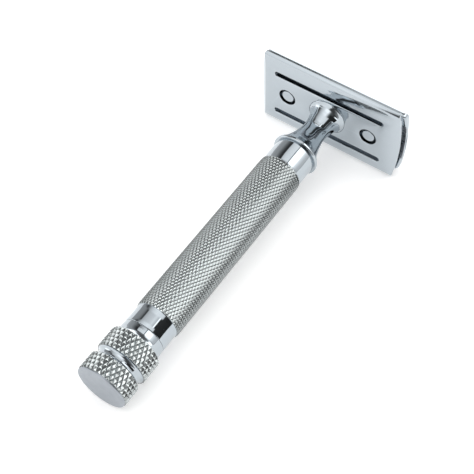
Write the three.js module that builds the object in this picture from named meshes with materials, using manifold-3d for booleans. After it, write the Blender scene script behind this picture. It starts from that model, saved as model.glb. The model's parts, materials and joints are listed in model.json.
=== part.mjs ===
// A double-edge safety razor lying at rest on its knob and on one long edge of its head.
//
// Each piece is drawn in handle coordinates, in millimetres: z runs along the handle's axis from the
// knob's flat end (0) to the top of the cap, x runs along the head and y across it. The last section
// lays the whole razor down, with the handle pointing along +X and the floor at Z = 0.

import * as THREE from 'three';
import { mergeVertices } from 'three/addons/utils/BufferGeometryUtils.js';
import Module from 'manifold-3d';

const wasm = await Module();
wasm.setup();

// ---------------------------------------------------------------- driving dimensions

// General fits.
const FIT_GAP = 0.05;
const RUNNING_GAP = 0.1;

// Knob, from its flat end.
const END_CAP_THICKNESS = 0.35;
const END_CAP_RADIUS = 6.57;
const KNOB_RADIUS = 6.84;
const LOWER_BAND_TOP = 5.11;
const UPPER_BAND_BOTTOM = 7.32;
const UPPER_BAND_TOP = 12.85;
const GROOVE_RADIUS = 5.75;
const KNOB_TOP = 15.95;
const KNOB_TOP_RADIUS = 5.6;
const NUT_SEAT = 5.0;
const WASHER_SEAT = 13.0;
const WASHER_POCKET_RADIUS = 4.3;
const NUT_POCKET_RADIUS = 4.5;

// Handle tube.
const TUBE_BOTTOM = 16.0;
const TUBE_TOP = 80.1;
const TUBE_BORE_RADIUS = 4.6;
const LOWER_COLLAR_RADIUS = 5.61;
const GRIP_BOTTOM = 21.16;
const GRIP_TOP = 73.3;
const GRIP_RADIUS = 6.01;
const UPPER_COLLAR_RADIUS = 5.72;

// Drive line inside the handle.
const ROD_RADIUS = 2.4;
const ROD_TAIL_RADIUS = 1.95;
const ROD_BOTTOM = 1.9;
const ROD_TOP = 65.5;
const RING_GROOVE_BOTTOM = 24.2;
const RING_GROOVE_HEIGHT = 0.9;
const BUSH_TOP = 24.1;
const BUSH_BORE_RADIUS = 2.5;
const SOCKET_BOTTOM = 60;
const SOCKET_TOP = 82;
const SOCKET_RADIUS = 3.5;
const SOCKET_COLLAR_RADIUS = 4.35;
const SOCKET_THREAD_BOTTOM = 68;
const CROSS_PIN_HEIGHT = 63;
const CROSS_PIN_RADIUS = 0.6;

// Neck.
const SPIGOT_BOTTOM = 70;
const SPIGOT_BORE_RADIUS = 3.6;
const RIM_RADIUS = 6.4;
const NECK_BORE_RADIUS = 2.35;
const FOOT_RADIUS = 5.35;
const FOOT_SEAT_DEPTH = 0.2;
const RIVET_RADIUS = 3.0;

// Head: plate, blade and cap.
const PLATE_UNDERSIDE = 95.84;
const PLATE_HALF_LENGTH = 21.1;
const PLATE_CORNER_HALF_LENGTH = 20.2;
const PLATE_CORNER_RADIUS = 0.9;
const PLATE_CORNER_STEPS = 2;
const PLATE_HALF_WIDTH = 12.45;
const PLATE_RIM = 97.2;
const PLATE_FLAT_HALF_LENGTH = 19.3;
const GUARD_ROLL_START = 9.08;
const GUARD_ROLL_STEPS = 7;
const GUARD_EDGE_HEIGHT = 0.3;
const PLATFORM_HALF_WIDTH = 9.4;
const PLATFORM_HALF_LENGTH = 19.6;
const SLOT_LENGTH = 32.8;
const SLOT_WIDTH = 1.6;
const SLOT_OFFSET = 7.0;
const BLADE_BOW_RADIUS = 40.5;
const BLADE_APEX = 99.5;
const BLADE_THICKNESS = 0.1;
const BLADE_HALF_LENGTH = 21.5;
const EDGE_HALF_LENGTH = 18.7;
const BLADE_HALF_WIDTH = 10.87;
const TAB_HALF_WIDTH = 6.2;
const BLADE_SLOT_HALF_LENGTH = 16.8;
const BLADE_SLOT_WIDTH = 2.0;
const BLADE_PIN_OPENING_RADIUS = 2.2;
const BLADE_STUD_OPENING_RADIUS = 3.2;
const CAP_HALF_LENGTH = 21.8;
const CAP_CORNER_HALF_LENGTH = 21.2;
const CAP_CORNER_RADIUS = 1.8;
const CAP_CORNER_STEPS = 8;
const BULGED_END_STEPS = 12;
const CAP_LIP_HEIGHT = 0.95;
const CAP_HALF_WIDTH = 10.62;
const CAP_TOP = 101.4;
const PIN_OFFSET = 12.41;
const PIN_RADIUS = 1.8;
const PIN_TOP = 100.5;
const PIN_HOLE_RADIUS = 2.5;
const FLANGE_RADIUS = 3.2;
const FLANGE_TOP = 100.7;
const STUD_RADIUS = 1.95;
const STUD_BOTTOM = 76.6;

// Smoothness of round pieces.
const OUTER_STEPS = 48;
const INNER_STEPS = 32;

// ---------------------------------------------------------------- materials

function metal(color, roughness) {
  return new THREE.MeshStandardMaterial({ color, roughness, metalness: 1 });
}

const chrome = metal(0xd8dde2, 0.08);
const knurledChrome = metal(0xc9ced3, 0.25);
const satinChrome = metal(0xa9b0b7, 0.4);
const bladeSteel = metal(0xaab0b6, 0.3);
const steel = metal(0x9a9da1, 0.35);
const springSteel = metal(0x7f858c, 0.35);
const brass = metal(0xc9a45c, 0.3);
const nylon = new THREE.MeshStandardMaterial({ color: 0xe6e2d6, roughness: 0.6, metalness: 0 });

// ---------------------------------------------------------------- shape helpers

// A solid of revolution about the handle's axis from [radius, height] pairs. The outside is listed
// going up, and a hollow piece closes the loop by coming down its bore.
function turned(profile, steps = OUTER_STEPS) {
  const points = profile.map(([radius, height]) => new THREE.Vector2(radius, height));
  return new THREE.LatheGeometry(points, steps).rotateX(Math.PI / 2);
}

function ring(innerRadius, outerRadius, bottom, top, steps = INNER_STEPS) {
  return turned([
    [innerRadius, bottom],
    [outerRadius, bottom],
    [outerRadius, top],
    [innerRadius, top],
    [innerRadius, bottom],
  ], steps);
}

function post(radius, bottom, top, x = 0, steps = INNER_STEPS) {
  return new THREE.CylinderGeometry(radius, radius, top - bottom, steps)
    .rotateX(Math.PI / 2)
    .translate(x, 0, (bottom + top) / 2);
}

// A plan outline in x and y, made solid between two heights.
function slab(outline, bottom, top) {
  return new THREE.ExtrudeGeometry(outline, { depth: top - bottom, bevelEnabled: false, curveSegments: 12 })
    .translate(0, 0, bottom);
}

// A section drawn in y and z, made solid along x to both sides of the middle.
function alongHead(section, halfLength) {
  const toHead = new THREE.Matrix4().makeBasis(
    new THREE.Vector3(0, 1, 0),
    new THREE.Vector3(0, 0, 1),
    new THREE.Vector3(1, 0, 0),
  );
  return new THREE.ExtrudeGeometry(section, { depth: 2 * halfLength, bevelEnabled: false })
    .applyMatrix4(toHead)
    .translate(-halfLength, 0, 0);
}

// A section drawn in x and z, made solid along y to both sides of the middle.
function acrossHead(section, halfWidth) {
  return new THREE.ExtrudeGeometry(section, { depth: 2 * halfWidth, bevelEnabled: false })
    .rotateX(Math.PI / 2)
    .translate(0, halfWidth, 0);
}

// An outline symmetric about its upright axis, from the points of one side listed going up.
function mirrored(half) {
  const otherSide = half
    .filter(([across]) => across !== 0)
    .map(([across, height]) => [-across, height])
    .reverse();
  return new THREE.Shape([...half, ...otherSide].map(([u, v]) => new THREE.Vector2(u, v)));
}

// An outline symmetric about both axes, from its points in the first quarter.
function fourWay(quarter) {
  const back = [...quarter].reverse();
  return new THREE.Shape([
    ...quarter.map(([x, y]) => new THREE.Vector2(x, y)),
    ...back.map(([x, y]) => new THREE.Vector2(-x, y)),
    ...quarter.map(([x, y]) => new THREE.Vector2(-x, -y)),
    ...back.map(([x, y]) => new THREE.Vector2(x, -y)),
  ]);
}

function toSolid(geometry) {
  const bare = geometry.clone();
  bare.deleteAttribute('normal');
  bare.deleteAttribute('uv');
  const merged = mergeVertices(bare, 1e-5);
  const index = merged.index.array;
  const corners = [];
  for (let i = 0; i < index.length; i += 3) {
    const [a, b, c] = [index[i], index[i + 1], index[i + 2]];
    if (a !== b && b !== c && c !== a) corners.push(a, b, c);
  }
  return new wasm.Manifold(new wasm.Mesh({
    numProp: 3,
    vertProperties: merged.attributes.position.array,
    triVerts: new Uint32Array(corners),
  }));
}

function toGeometry(solid) {
  const { vertProperties, triVerts } = solid.getMesh();
  const geometry = new THREE.BufferGeometry();
  geometry.setAttribute('position', new THREE.BufferAttribute(vertProperties, 3));
  geometry.setIndex(new THREE.BufferAttribute(triVerts, 1));
  geometry.computeVertexNormals();
  return geometry;
}

function common(first, ...others) {
  return toGeometry(others.reduce((solid, other) => solid.intersect(toSolid(other)), toSolid(first)));
}

function cut(body, ...tools) {
  return toGeometry(tools.reduce((solid, tool) => solid.subtract(toSolid(tool)), toSolid(body)));
}

function piece(name, geometry, material) {
  const mesh = new THREE.Mesh(geometry, material);
  mesh.name = name;
  return mesh;
}

// Height of the bowed blade's middle surface, or of a surface parallel to it, at a distance across.
function bow(across, offset = 0) {
  const radius = BLADE_BOW_RADIUS + offset;
  return BLADE_APEX - BLADE_BOW_RADIUS + Math.sqrt(radius ** 2 - across ** 2);
}

// Points of that surface from one distance across to another.
function bowPoints(from, to, offset, steps) {
  const points = [];
  for (let i = 0; i <= steps; i += 1) {
    const across = from + (to - from) * i / steps;
    points.push([across, bow(across, offset)]);
  }
  return points;
}

function curvePoints(start, control, end, steps) {
  const [first, middle, last] = [start, control, end].map(([x, y]) => new THREE.Vector2(x, y));
  return new THREE.QuadraticBezierCurve(first, middle, last).getPoints(steps);
}

// A head outline seen from above: straight long edges, ends that bulge and corners eased off in the
// given number of steps.
function bulgedOutline(halfLength, cornerHalfLength, halfWidth, cornerRadius, cornerSteps) {
  const straight = halfWidth - cornerRadius;
  const corner = curvePoints(
    [cornerHalfLength - cornerRadius, -halfWidth],
    [cornerHalfLength, -halfWidth],
    [cornerHalfLength, -straight],
    cornerSteps,
  );
  const end = curvePoints(
    [cornerHalfLength, -straight],
    [2 * halfLength - cornerHalfLength, 0],
    [cornerHalfLength, straight],
    BULGED_END_STEPS,
  );
  const otherCorner = corner.map(({ x, y }) => new THREE.Vector2(x, -y)).reverse();
  const right = [...corner, ...end.slice(1, -1), ...otherCorner];
  return new THREE.Shape([...right, ...right.map(({ x, y }) => new THREE.Vector2(-x, -y))]);
}

// ---------------------------------------------------------------- knob and drive line

// Flat disc that closes the end of the knob, with a plug that fits its pocket.
function knobEndCap() {
  const plugTop = 1.6;
  return turned([
    [0, 0],
    [END_CAP_RADIUS - 0.2, 0],
    [END_CAP_RADIUS, 0.2],
    [END_CAP_RADIUS, END_CAP_THICKNESS],
    [NUT_POCKET_RADIUS - FIT_GAP, END_CAP_THICKNESS],
    [NUT_POCKET_RADIUS - FIT_GAP, plugTop],
    [0, plugTop],
  ]);
}

// Knob with two gripping bands, a groove between them and a flare that meets the handle.
function knob() {
  const bottom = END_CAP_THICKNESS + FIT_GAP;
  const chamfer = 0.2;
  const grooveMiddle = (LOWER_BAND_TOP + UPPER_BAND_BOTTOM) / 2;
  const grooveShoulder = GROOVE_RADIUS + 0.25;
  return turned([
    [NUT_POCKET_RADIUS, bottom],
    [KNOB_RADIUS - chamfer, bottom],
    [KNOB_RADIUS, bottom + chamfer],
    [KNOB_RADIUS, LOWER_BAND_TOP - chamfer],
    [KNOB_RADIUS - chamfer, LOWER_BAND_TOP],
    [grooveShoulder, LOWER_BAND_TOP + chamfer],
    [GROOVE_RADIUS, grooveMiddle],
    [grooveShoulder, UPPER_BAND_BOTTOM - chamfer],
    [KNOB_RADIUS - chamfer, UPPER_BAND_BOTTOM],
    [KNOB_RADIUS, UPPER_BAND_BOTTOM + chamfer],
    [KNOB_RADIUS, UPPER_BAND_TOP - chamfer],
    [KNOB_RADIUS - chamfer, UPPER_BAND_TOP],
    [6.0, 13.5],
    [5.72, 14.6],
    [KNOB_TOP_RADIUS, KNOB_TOP],
    [WASHER_POCKET_RADIUS, KNOB_TOP],
    [WASHER_POCKET_RADIUS, WASHER_SEAT],
    [ROD_TAIL_RADIUS + RUNNING_GAP, WASHER_SEAT],
    [ROD_TAIL_RADIUS + RUNNING_GAP, NUT_SEAT],
    [NUT_POCKET_RADIUS, NUT_SEAT],
    [NUT_POCKET_RADIUS, bottom],
  ]);
}

// Hexagon nut that clamps the knob against the rod's shoulder.
function lockNut() {
  const acrossFlats = 7;
  const height = 2.6;
  const top = NUT_SEAT - FIT_GAP;
  const hexagon = new THREE.Shape();
  for (let corner = 0; corner < 6; corner += 1) {
    const angle = corner * Math.PI / 3;
    const reach = acrossFlats / Math.sqrt(3);
    const step = corner === 0 ? 'moveTo' : 'lineTo';
    hexagon[step](reach * Math.cos(angle), reach * Math.sin(angle));
  }
  hexagon.holes.push(new THREE.Path().absarc(0, 0, ROD_TAIL_RADIUS + RUNNING_GAP, 0, 2 * Math.PI));
  return slab(hexagon, top - height, top);
}

function crossPinHole() {
  return new THREE.CylinderGeometry(CROSS_PIN_RADIUS + FIT_GAP, CROSS_PIN_RADIUS + FIT_GAP, 12, 16)
    .rotateZ(Math.PI / 2)
    .translate(0, 0, CROSS_PIN_HEIGHT);
}

// Rod that carries the knob's turn up the handle, with a threaded tail and a groove for its ring.
function driveRod() {
  const neckedRadius = ROD_RADIUS - 0.3;
  const shoulder = WASHER_SEAT + FIT_GAP;
  const grooveTop = RING_GROOVE_BOTTOM + RING_GROOVE_HEIGHT;
  const blank = turned([
    [0, ROD_BOTTOM],
    [ROD_TAIL_RADIUS - 0.2, ROD_BOTTOM],
    [ROD_TAIL_RADIUS, ROD_BOTTOM + 0.2],
    [ROD_TAIL_RADIUS, shoulder],
    [ROD_RADIUS, shoulder],
    [ROD_RADIUS, RING_GROOVE_BOTTOM],
    [neckedRadius, RING_GROOVE_BOTTOM],
    [neckedRadius, grooveTop],
    [ROD_RADIUS, grooveTop],
    [ROD_RADIUS, ROD_TOP],
    [0, ROD_TOP],
  ], INNER_STEPS);
  return cut(blank, crossPinHole());
}

// Brass sleeve at the top of the rod. Its upper bore is threaded for the cap's stud, and its collar
// takes the pull of the stud against the end of the neck's spigot.
function socket() {
  const collarTop = SPIGOT_BOTTOM - RUNNING_GAP;
  const collarBottom = collarTop - 3.9;
  const rodBore = ROD_RADIUS + FIT_GAP;
  const rodStop = ROD_TOP + RUNNING_GAP;
  const threadBore = STUD_RADIUS + 0.15;
  const blank = turned([
    [0, rodStop],
    [rodBore, rodStop],
    [rodBore, SOCKET_BOTTOM],
    [SOCKET_RADIUS, SOCKET_BOTTOM],
    [SOCKET_RADIUS, collarBottom],
    [SOCKET_COLLAR_RADIUS, collarBottom],
    [SOCKET_COLLAR_RADIUS, collarTop],
    [SOCKET_RADIUS, collarTop],
    [SOCKET_RADIUS, SOCKET_TOP],
    [threadBore, SOCKET_TOP],
    [threadBore, SOCKET_THREAD_BOTTOM],
    [0, SOCKET_THREAD_BOTTOM],
  ], INNER_STEPS);
  return cut(blank, crossPinHole());
}

// Pin driven through the socket and the rod, so that they turn together.
function crossPin() {
  const length = 2 * SOCKET_RADIUS - 0.3;
  return new THREE.CylinderGeometry(CROSS_PIN_RADIUS, CROSS_PIN_RADIUS, length, 16)
    .rotateZ(Math.PI / 2)
    .translate(0, 0, CROSS_PIN_HEIGHT);
}

// Bush pressed into the foot of the tube. Its nose reaches into the knob's pocket.
function lowerBush() {
  const noseRadius = WASHER_POCKET_RADIUS - 0.2;
  const noseBottom = TUBE_BOTTOM - 0.6;
  const shoulder = TUBE_BOTTOM + 0.3;
  const seat = TUBE_BORE_RADIUS - FIT_GAP;
  return turned([
    [BUSH_BORE_RADIUS, noseBottom],
    [noseRadius, noseBottom],
    [noseRadius, shoulder],
    [seat, shoulder],
    [seat, BUSH_TOP],
    [BUSH_BORE_RADIUS, BUSH_TOP],
    [BUSH_BORE_RADIUS, noseBottom],
  ], INNER_STEPS);
}

// Open ring in the rod's groove, which keeps the rod from being pulled out of its bush.
function retainingRing() {
  const innerRadius = ROD_RADIUS - 0.25;
  const outerRadius = 3.9;
  const halfOpening = 0.45;
  const band = new THREE.Shape();
  band.absarc(0, 0, outerRadius, halfOpening, 2 * Math.PI - halfOpening);
  band.absarc(0, 0, innerRadius, 2 * Math.PI - halfOpening, halfOpening, true);
  const bottom = RING_GROOVE_BOTTOM + 0.1;
  return slab(band, bottom, bottom + RING_GROOVE_HEIGHT - 0.2);
}

// Spring washer with three waves, which gives the knob its drag.
function waveWasher() {
  const waveHeight = 0.4;
  const middle = WASHER_SEAT + 0.7;
  const washer = ring(2.6, 3.9, -0.125, 0.125, 36);
  const position = washer.getAttribute('position');
  for (let i = 0; i < position.count; i += 1) {
    const angle = Math.atan2(position.getY(i), position.getX(i));
    position.setZ(i, position.getZ(i) + middle + waveHeight * Math.sin(3 * angle));
  }
  return washer;
}

function thrustWasher() {
  const bottom = WASHER_SEAT + 1.4;
  return ring(ROD_RADIUS + RUNNING_GAP, WASHER_POCKET_RADIUS - 0.2, bottom, bottom + 0.8);
}

// ---------------------------------------------------------------- handle

// Tube with a plain collar at each end of its gripping band.
function handleTube() {
  const step = 0.12;
  return turned([
    [TUBE_BORE_RADIUS, TUBE_BOTTOM],
    [LOWER_COLLAR_RADIUS - step, TUBE_BOTTOM],
    [LOWER_COLLAR_RADIUS, TUBE_BOTTOM + step],
    [LOWER_COLLAR_RADIUS, GRIP_BOTTOM],
    [GRIP_RADIUS, GRIP_BOTTOM + step],
    [GRIP_RADIUS, GRIP_TOP - step],
    [UPPER_COLLAR_RADIUS, GRIP_TOP],
    [UPPER_COLLAR_RADIUS, TUBE_TOP - step],
    [UPPER_COLLAR_RADIUS - step, TUBE_TOP],
    [TUBE_BORE_RADIUS, TUBE_TOP],
    [TUBE_BORE_RADIUS, TUBE_BOTTOM],
  ]);
}

// Neck: a spigot inside the tube, a rim over the tube's end, a slim waist, a foot let into the plate
// and a tube riveted through it. One bore runs right through, wide enough below for the socket.
function neck() {
  const shoulder = TUBE_TOP + FIT_GAP;
  const boreStep = SOCKET_TOP + 0.3;
  const footTop = PLATE_UNDERSIDE + FOOT_SEAT_DEPTH - FIT_GAP;
  const rivetTop = 99.1;
  const waist = new THREE.SplineCurve([
    new THREE.Vector2(6.1, 81.2),
    new THREE.Vector2(5.03, 83.0),
    new THREE.Vector2(4.24, 85.0),
    new THREE.Vector2(3.7, 87.0),
    new THREE.Vector2(3.35, 89.0),
    new THREE.Vector2(3.36, 90.5),
    new THREE.Vector2(3.84, 93.0),
    new THREE.Vector2(4.45, 95.2),
  ]).getPoints(21).map((point) => [point.x, point.y]);
  return turned([
    [SPIGOT_BORE_RADIUS, SPIGOT_BOTTOM],
    [TUBE_BORE_RADIUS - FIT_GAP, SPIGOT_BOTTOM],
    [TUBE_BORE_RADIUS - FIT_GAP, shoulder],
    [RIM_RADIUS - 0.25, shoulder],
    [RIM_RADIUS, shoulder + 0.25],
    [RIM_RADIUS, shoulder + 0.75],
    ...waist,
    [4.8, 95.5],
    [FOOT_RADIUS, 95.6],
    [FOOT_RADIUS, footTop],
    [RIVET_RADIUS, footTop],
    [RIVET_RADIUS, rivetTop],
    [NECK_BORE_RADIUS, rivetTop],
    [NECK_BORE_RADIUS, boreStep],
    [SPIGOT_BORE_RADIUS, boreStep],
    [SPIGOT_BORE_RADIUS, SPIGOT_BOTTOM],
  ]);
}

// ---------------------------------------------------------------- head

// Points of the rolled underside of a guard bar, from the flat of the plate out to its rim. It
// steepens evenly, like a parabola.
function guardRoll(steps) {
  const points = [];
  for (let i = 0; i <= steps; i += 1) {
    const out = i / steps;
    points.push([
      GUARD_ROLL_START + (PLATE_HALF_WIDTH - GUARD_ROLL_START) * out,
      PLATE_UNDERSIDE + (PLATE_RIM - PLATE_UNDERSIDE) * out ** 2,
    ]);
  }
  return points;
}

// Plate under the blade: a bowed platform in the middle and a rolled guard bar along each side, with
// a through slot between them, two holes for the cap's pins, one for the neck's rivet and a shallow
// seat for its foot. A thin flange reaches past each end of the platform.
function basePlate() {
  const low = PLATE_UNDERSIDE - 1;
  const platformGap = -(BLADE_THICKNESS / 2 + FIT_GAP);
  const flangeEdge = PLATE_RIM + 0.25;
  const flangeTop = PLATE_RIM + 0.55;
  const section = mirrored([
    [0, PLATE_UNDERSIDE],
    ...guardRoll(GUARD_ROLL_STEPS),
    [PLATE_HALF_WIDTH, PLATE_RIM + GUARD_EDGE_HEIGHT],
    [11.7, PLATE_RIM + 0.5],
    [11.2, PLATE_RIM + 0.4],
    [10.6, PLATE_RIM + 0.15],
    [9.9, PLATE_RIM + 0.25],
    ...bowPoints(PLATFORM_HALF_WIDTH, 0, platformGap, 8),
  ]);
  const lengthwise = mirrored([
    [0, low],
    [PLATE_FLAT_HALF_LENGTH, low],
    [PLATE_FLAT_HALF_LENGTH, PLATE_UNDERSIDE],
    [PLATE_HALF_LENGTH, flangeEdge],
    [PLATE_HALF_LENGTH, flangeTop],
    [PLATFORM_HALF_LENGTH, flangeTop],
    [PLATFORM_HALF_LENGTH, CAP_TOP],
    [0, CAP_TOP],
  ]);
  const outline = bulgedOutline(
    PLATE_HALF_LENGTH,
    PLATE_CORNER_HALF_LENGTH,
    PLATE_HALF_WIDTH,
    PLATE_CORNER_RADIUS,
    PLATE_CORNER_STEPS,
  );
  const blank = common(
    alongHead(section, PLATE_HALF_LENGTH + 1),
    acrossHead(lengthwise, PLATE_HALF_WIDTH + 1),
    slab(outline, low, CAP_TOP),
  );
  const slots = [-1, 1].map((side) => (
    new THREE.BoxGeometry(SLOT_LENGTH, SLOT_WIDTH, 8).translate(0, side * SLOT_OFFSET, PLATE_RIM)
  ));
  const pinHoles = [-1, 1].map((end) => post(PIN_HOLE_RADIUS, low, CAP_TOP, end * PIN_OFFSET));
  const rivetHole = post(RIVET_RADIUS + FIT_GAP, low, CAP_TOP);
  const footSeat = post(FOOT_RADIUS + FIT_GAP, low, PLATE_UNDERSIDE + FOOT_SEAT_DEPTH, 0, OUTER_STEPS);
  return cut(blank, ...slots, ...pinHoles, rivetHole, footSeat);
}

// Thin bowed double-edge blade with its end tabs, its long slot and its round openings.
function blade() {
  const half = BLADE_THICKNESS / 2;
  const bowed = [
    ...bowPoints(-BLADE_HALF_WIDTH, BLADE_HALF_WIDTH, -half, 16),
    ...bowPoints(BLADE_HALF_WIDTH, -BLADE_HALF_WIDTH, half, 16),
  ];
  const section = new THREE.Shape(bowed.map(([across, height]) => new THREE.Vector2(across, height)));
  const outline = fourWay([
    [BLADE_HALF_LENGTH, TAB_HALF_WIDTH],
    [EDGE_HALF_LENGTH + 0.6, TAB_HALF_WIDTH + 0.4],
    [EDGE_HALF_LENGTH, TAB_HALF_WIDTH + 1.6],
    [EDGE_HALF_LENGTH, BLADE_HALF_WIDTH + 1],
  ]);
  const blank = common(alongHead(section, BLADE_HALF_LENGTH + 1), slab(outline, PLATE_RIM, CAP_TOP));
  const slot = new THREE.BoxGeometry(2 * BLADE_SLOT_HALF_LENGTH, BLADE_SLOT_WIDTH, 8)
    .translate(0, 0, BLADE_APEX);
  const pinOpenings = [-1, 1].map((end) => (
    post(BLADE_PIN_OPENING_RADIUS, PLATE_RIM, CAP_TOP, end * PIN_OFFSET)
  ));
  return cut(blank, slot, ...pinOpenings, post(BLADE_STUD_OPENING_RADIUS, PLATE_RIM, CAP_TOP));
}

// Cap over the blade: a bowed underside, a rounded back and ends that fall away.
function cap() {
  const undersideGap = BLADE_THICKNESS / 2 + FIT_GAP;
  const lip = bow(CAP_HALF_WIDTH, undersideGap) + CAP_LIP_HEIGHT;
  const fullness = 2.4;
  const back = [];
  for (let turn = 90; turn >= 0; turn -= 10) {
    const reach = Math.sin(THREE.MathUtils.degToRad(turn));
    const rise = (1 - reach ** fullness) ** (1 / fullness);
    back.push([CAP_HALF_WIDTH * reach, lip + (CAP_TOP - lip) * rise]);
  }
  const section = mirrored([...bowPoints(0, CAP_HALF_WIDTH, undersideGap, 9), ...back]);
  const shoulder = CAP_TOP - 1.8;
  const endRounding = 5.2;
  const fall = [];
  for (let turn = 0; turn <= 90; turn += 15) {
    const angle = THREE.MathUtils.degToRad(turn);
    fall.push([
      CAP_HALF_LENGTH - endRounding * (1 - Math.cos(angle)),
      shoulder + (CAP_TOP - shoulder) * Math.sin(angle),
    ]);
  }
  const lengthwise = mirrored([
    [0, PLATE_RIM],
    [CAP_HALF_LENGTH + 1, PLATE_RIM],
    [CAP_HALF_LENGTH + 1, shoulder],
    ...fall,
    [0, CAP_TOP],
  ]);
  const outline = bulgedOutline(
    CAP_HALF_LENGTH,
    CAP_CORNER_HALF_LENGTH,
    CAP_HALF_WIDTH,
    CAP_CORNER_RADIUS,
    CAP_CORNER_STEPS,
  );
  const blank = common(
    alongHead(section, CAP_HALF_LENGTH + 1),
    acrossHead(lengthwise, CAP_HALF_WIDTH + 1),
    slab(outline, PLATE_RIM, CAP_TOP + 1),
  );
  const pinSeats = [-1, 1].map((end) => (
    post(PIN_RADIUS + FIT_GAP, PLATE_RIM, PIN_TOP + FIT_GAP, end * PIN_OFFSET)
  ));
  const flangeSeat = post(FLANGE_RADIUS + FIT_GAP, PLATE_RIM, FLANGE_TOP + FIT_GAP);
  return cut(blank, ...pinSeats, flangeSeat);
}

// Threaded stud under the middle of the cap, held by its flange.
function capStud() {
  const flangeBottom = 99.7;
  return turned([
    [0, STUD_BOTTOM],
    [STUD_RADIUS - 0.4, STUD_BOTTOM],
    [STUD_RADIUS, STUD_BOTTOM + 0.5],
    [STUD_RADIUS, flangeBottom],
    [FLANGE_RADIUS, flangeBottom],
    [FLANGE_RADIUS, FLANGE_TOP],
    [0, FLANGE_TOP],
  ], INNER_STEPS);
}

function locatingPin(end) {
  return post(PIN_RADIUS, PLATE_UNDERSIDE + 0.3, PIN_TOP, end * PIN_OFFSET, 24);
}

// ---------------------------------------------------------------- assembly

const razor = new THREE.Group();
razor.add(
  piece('cap', cap(), chrome),
  piece('cap_stud', capStud(), steel),
  piece('locating_pin_left', locatingPin(-1), chrome),
  piece('locating_pin_right', locatingPin(1), chrome),
  piece('blade', blade(), bladeSteel),
  piece('base_plate', basePlate(), chrome),
  piece('neck', neck(), chrome),
  piece('handle_tube', handleTube(), knurledChrome),
  piece('socket', socket(), brass),
  piece('cross_pin', crossPin(), steel),
  piece('drive_rod', driveRod(), steel),
  piece('lower_bush', lowerBush(), brass),
  piece('retaining_ring', retainingRing(), springSteel),
  piece('wave_washer', waveWasher(), springSteel),
  piece('thrust_washer', thrustWasher(), nylon),
  piece('knob', knob(), knurledChrome),
  piece('lock_nut', lockNut(), steel),
  piece('knob_end_cap', knobEndCap(), satinChrome),
);

// The razor lies on the knob's lower edge and on the plate's rim, so its handle climbs towards the
// head by the angle between them. The head's y side is down.
const knobEdge = END_CAP_THICKNESS + FIT_GAP + 0.2;
const climb = Math.atan2(PLATE_HALF_WIDTH - KNOB_RADIUS, PLATE_RIM - knobEdge);
razor.quaternion.setFromRotationMatrix(new THREE.Matrix4().makeBasis(
  new THREE.Vector3(0, -1, 0),
  new THREE.Vector3(Math.sin(climb), 0, -Math.cos(climb)),
  new THREE.Vector3(Math.cos(climb), 0, Math.sin(climb)),
));

// The origin is under the middle of the razor, on the floor.
razor.updateMatrixWorld(true);
const extent = new THREE.Box3().setFromObject(razor, true);
const middle = extent.getCenter(new THREE.Vector3());
razor.position.set(-middle.x, -middle.y, -extent.min.z);

const group = new THREE.Group();
group.add(razor);

export default group;
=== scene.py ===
"""Looks of the double-edge safety razor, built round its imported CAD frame.

Shapes are drawn in handle coordinates, in millimetres: z runs up the handle from the knob's flat end
(0) to the top of the cap, x runs along the head and y across it. to_row() puts them in the row frame.
"""
import json
import math
from collections import namedtuple

import bmesh
import bpy
import numpy as np
from mathutils import Matrix


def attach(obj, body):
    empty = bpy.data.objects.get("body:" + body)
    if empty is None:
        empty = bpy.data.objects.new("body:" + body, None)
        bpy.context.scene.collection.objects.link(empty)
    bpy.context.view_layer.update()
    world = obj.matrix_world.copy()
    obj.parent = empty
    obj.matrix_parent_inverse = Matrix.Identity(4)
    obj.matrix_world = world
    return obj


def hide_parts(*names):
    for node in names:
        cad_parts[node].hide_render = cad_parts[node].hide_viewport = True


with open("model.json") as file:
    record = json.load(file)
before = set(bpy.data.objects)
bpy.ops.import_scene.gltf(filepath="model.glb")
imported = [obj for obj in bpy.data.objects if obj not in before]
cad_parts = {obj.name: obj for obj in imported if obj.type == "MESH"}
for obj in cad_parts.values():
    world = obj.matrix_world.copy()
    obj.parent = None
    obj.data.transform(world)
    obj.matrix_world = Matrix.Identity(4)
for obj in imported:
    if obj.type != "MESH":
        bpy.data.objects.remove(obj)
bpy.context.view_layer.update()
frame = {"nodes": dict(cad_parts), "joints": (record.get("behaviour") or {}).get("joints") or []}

# ---------------------------------------- dimensions, in millimetres

FIT_GAP = 0.05
RUNNING_GAP = 0.1

END_CAP_THICKNESS = 0.35
END_CAP_RADIUS = 6.57
KNOB_RADIUS = 6.83
LOWER_BAND_TOP = 5.11
UPPER_BAND_BOTTOM = 7.32
UPPER_BAND_TOP = 12.85
GROOVE_RADIUS = 5.75
KNOB_TOP = 15.95
KNOB_TOP_RADIUS = 5.6
KNOB_TOP_FACE_RADIUS = 5.0
NUT_SEAT = 5.0
WASHER_SEAT = 13.0
WASHER_POCKET_RADIUS = 4.3
NUT_POCKET_RADIUS = 4.5

TUBE_BOTTOM = 16.0
TUBE_TOP = 80.1
TUBE_BORE_RADIUS = 4.6
LOWER_COLLAR_RADIUS = 5.61
GRIP_BOTTOM = 21.16
GRIP_TOP = 73.3
GRIP_RADIUS = 6.0
UPPER_COLLAR_RADIUS = 5.72
TUBE_END_FACE_RADIUS = 5.2

ROD_TAIL_RADIUS = 1.95
SOCKET_TOP = 82.0

SPIGOT_BOTTOM = 70.0
SPIGOT_BORE_RADIUS = 3.6
RIM_RADIUS = 6.4
NECK_BORE_RADIUS = 2.35
FOOT_RADIUS = 5.35
FOOT_SEAT_DEPTH = 0.2
RIVET_RADIUS = 3.0
RIVET_TOP = 99.1

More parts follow.
